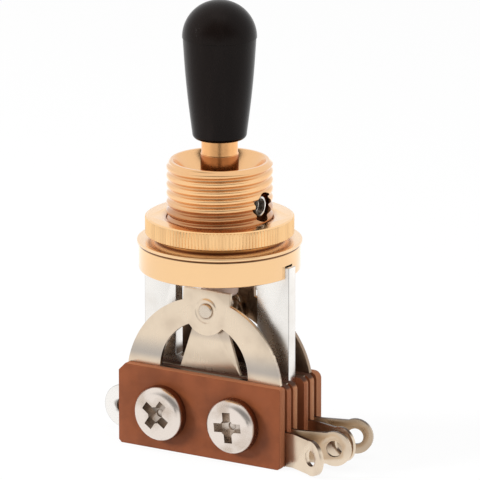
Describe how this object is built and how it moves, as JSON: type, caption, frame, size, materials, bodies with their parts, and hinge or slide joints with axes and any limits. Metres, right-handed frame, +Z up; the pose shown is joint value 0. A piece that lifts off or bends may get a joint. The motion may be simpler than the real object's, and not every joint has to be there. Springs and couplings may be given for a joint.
{
  "type": "toggle switch",
  "caption": "Lever switch for a panel: domed tip and swinging lever in a threaded bushing, over leaf contacts clamped between insulating plates with solder lugs.",
  "frame": {"origin": "on the bushing's axis, at the top face of its flange, where the panel seats", "axes": "+Z up the bushing's axis to the tip, X along the insulating plates with the leaf lugs at +X, and the lever swings towards -Y and +Y"},
  "size_m": [0.0324, 0.0186, 0.0516],
  "materials": {
    "black_plastic": "moulded, glossy",
    "gold_plate": "polished gold plate on brass",
    "lever_plate": "gold plate on brass",
    "nickel_plate": "bright nickel plate on steel",
    "leaf_metal": "rolled nickel silver",
    "contact_silver": "silver rivet",
    "phenolic": "laminated phenolic board",
    "nylon": "moulded nylon",
    "steel": "turned steel"
  },
  "bodies": {
    "frame": {"bushing": "gold_plate", "panel_washer": "gold_plate", "frame_plate": "nickel_plate", "clamp_screws": "nickel_plate", "clamp_nuts": "nickel_plate", "screw_tubes": "nylon", "inner_insulator_front": "phenolic", "middle_insulator_front": "phenolic", "outer_insulator_front": "phenolic", "front_fixed_contact": "contact_silver", "front_spring_leaf": "leaf_metal", "front_fixed_leaf": "leaf_metal", "inner_insulator_back": "phenolic", "middle_insulator_back": "phenolic", "outer_insulator_back": "phenolic", "back_fixed_contact": "contact_silver", "back_spring_leaf": "leaf_metal", "back_fixed_leaf": "leaf_metal"},
    "pivot": {"pivot_pin": "steel"},
    "lever": {"lever": "lever_plate", "lever_sleeve": "nylon", "switch_tip": "black_plastic"},
    "front_contact": {"front_moving_contact": "contact_silver"},
    "back_contact": {"back_moving_contact": "contact_silver"},
    "nut": {"knurled_nut": "gold_plate"}
  },
  "joints": [
    {"name": "throw_forward", "type": "hinge", "parent": "frame", "child": "pivot", "pos_m": [0, 0, 0.0047], "axis": [1, 0, 0], "range_deg": [0, 10]},
    {"name": "throw_backward", "type": "hinge", "parent": "pivot", "child": "lever", "pos_m": [0, 0, 0.0047], "axis": [-1, 0, 0], "range_deg": [0, 10]},
    {"name": "back_leaf_flex", "type": "hinge", "parent": "frame", "child": "back_contact", "pos_m": [0, 0.00314, -0.01455], "axis": [-1, 0, 0], "range_deg": [0, 10.5], "deforming": ["back_spring_leaf"]},
    {"name": "front_leaf_flex", "type": "hinge", "parent": "frame", "child": "front_contact", "pos_m": [0, -0.00314, -0.01455], "axis": [1, 0, 0], "range_deg": [0, 10.5], "deforming": ["front_spring_leaf"]},
    {"name": "nut_travel", "type": "slide", "parent": "frame", "child": "nut", "axis": [0, 0, 1], "range_m": [0, 0.0058]}
  ],
  "couplings": [
    {"joint": "back_leaf_flex", "follows": "throw_forward", "ratio": 1},
    {"joint": "front_leaf_flex", "follows": "throw_backward", "ratio": 1}
  ]
}
